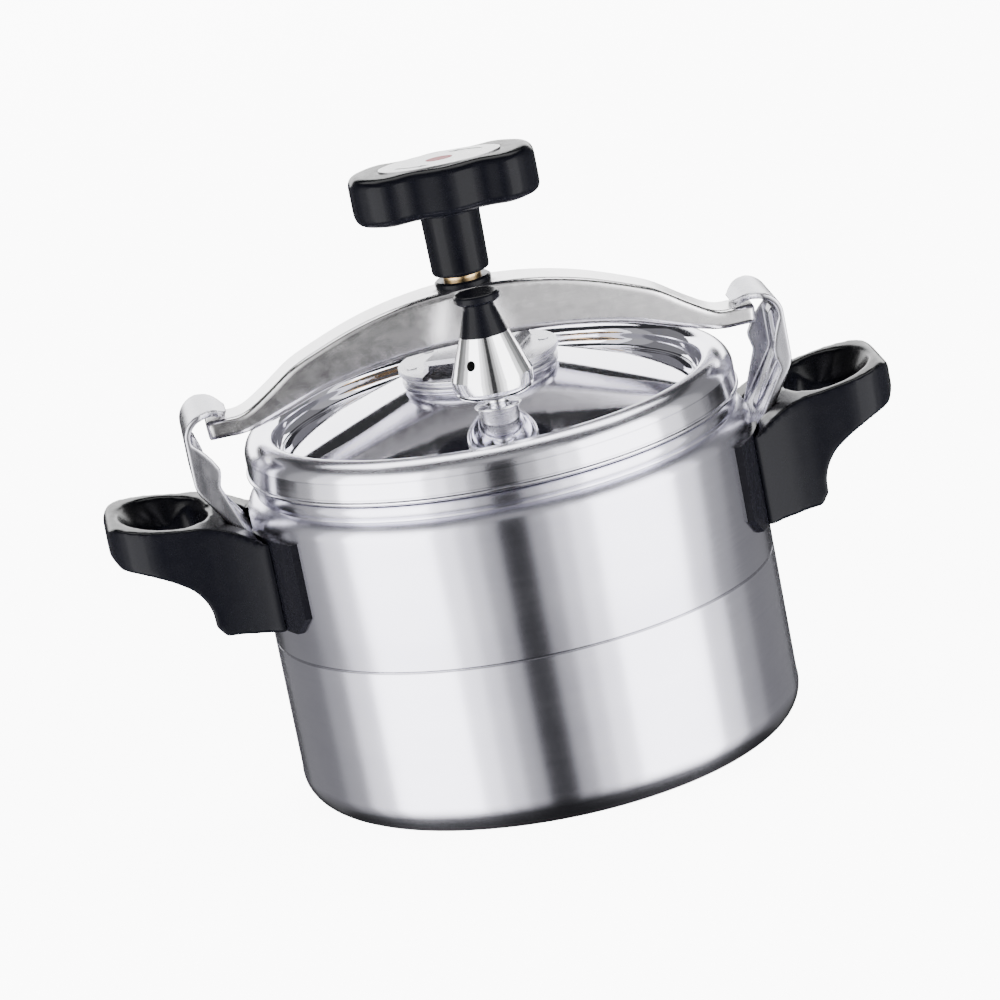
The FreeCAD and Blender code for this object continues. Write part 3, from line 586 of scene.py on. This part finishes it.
def softbox(name, azimuth, elevation, distance, width, height, radiance):
    """Soft area light. Its azimuth is measured from the camera's side, positive to the right."""
    around = math.radians(azimuth + CAMERA_SIDE)
    up = math.radians(elevation)
    place = LIGHTS_AIM + distance * Vector((math.sin(around) * math.cos(up),
                                            -math.cos(around) * math.cos(up), math.sin(up)))
    light = bpy.data.lights.new(name, "AREA")
    light.shape = "RECTANGLE"
    light.size, light.size_y = width, height
    light.energy = radiance * math.pi * width * height
    obj = bpy.data.objects.new(name, light)
    bpy.context.scene.collection.objects.link(obj)
    obj.matrix_world = facing(place, LIGHTS_AIM)


def camera():
    """Long lens from the front and a little above, tilted so that the object leans."""
    data = bpy.data.cameras.new("camera")
    data.lens, data.sensor_width = 180.0, 36.0
    data.clip_start, data.clip_end = 0.05, 60.0
    obj = bpy.data.objects.new("camera", data)
    bpy.context.scene.collection.objects.link(obj)
    obj.matrix_world = facing(CAMERA_PLACE, CAMERA_AIM) @ Matrix.Rotation(CAMERA_ROLL, 4, "Z")
    bpy.context.scene.camera = obj


def world(strength):
    made = bpy.data.worlds.new("studio")
    made.use_nodes = True
    made.node_tree.nodes["Background"].inputs[0].default_value = (0.95, 0.96, 1.0, 1)
    made.node_tree.nodes["Background"].inputs[1].default_value = strength
    bpy.context.scene.world = made


floor()
world(0.04)
# azimuth of each strip's middle, how wide it looks from the object, and its radiance
STRIPS = [(11.5, 9, 0.6), (21, 10, 1.5), (31, 11, 2.8), (57, 42, 6.5), (86, 15, 1.8),
          (102, 16, 0.45), (130, 40, 0.2)]
STRIP_DISTANCE = 2.5
STRIP_HEIGHT = 3.6
for side, name in ((-1, "left"), (1, "right")):
    for azimuth, width, radiance in STRIPS:
        softbox("strip_%s_%d" % (name, azimuth), side * azimuth, 0, STRIP_DISTANCE,
                2 * STRIP_DISTANCE * math.tan(math.radians(width / 2)), STRIP_HEIGHT, radiance)
softbox("softbox_back", 180, 12, 2.8, 3.6, 0.9, 5.0)
softbox("softbox_top", 180, 67, 2.2, 2.4, 1.1, 5.5)
softbox("softbox_front", 0, 52, 2.6, 2.4, 1.0, 0.5)
camera()
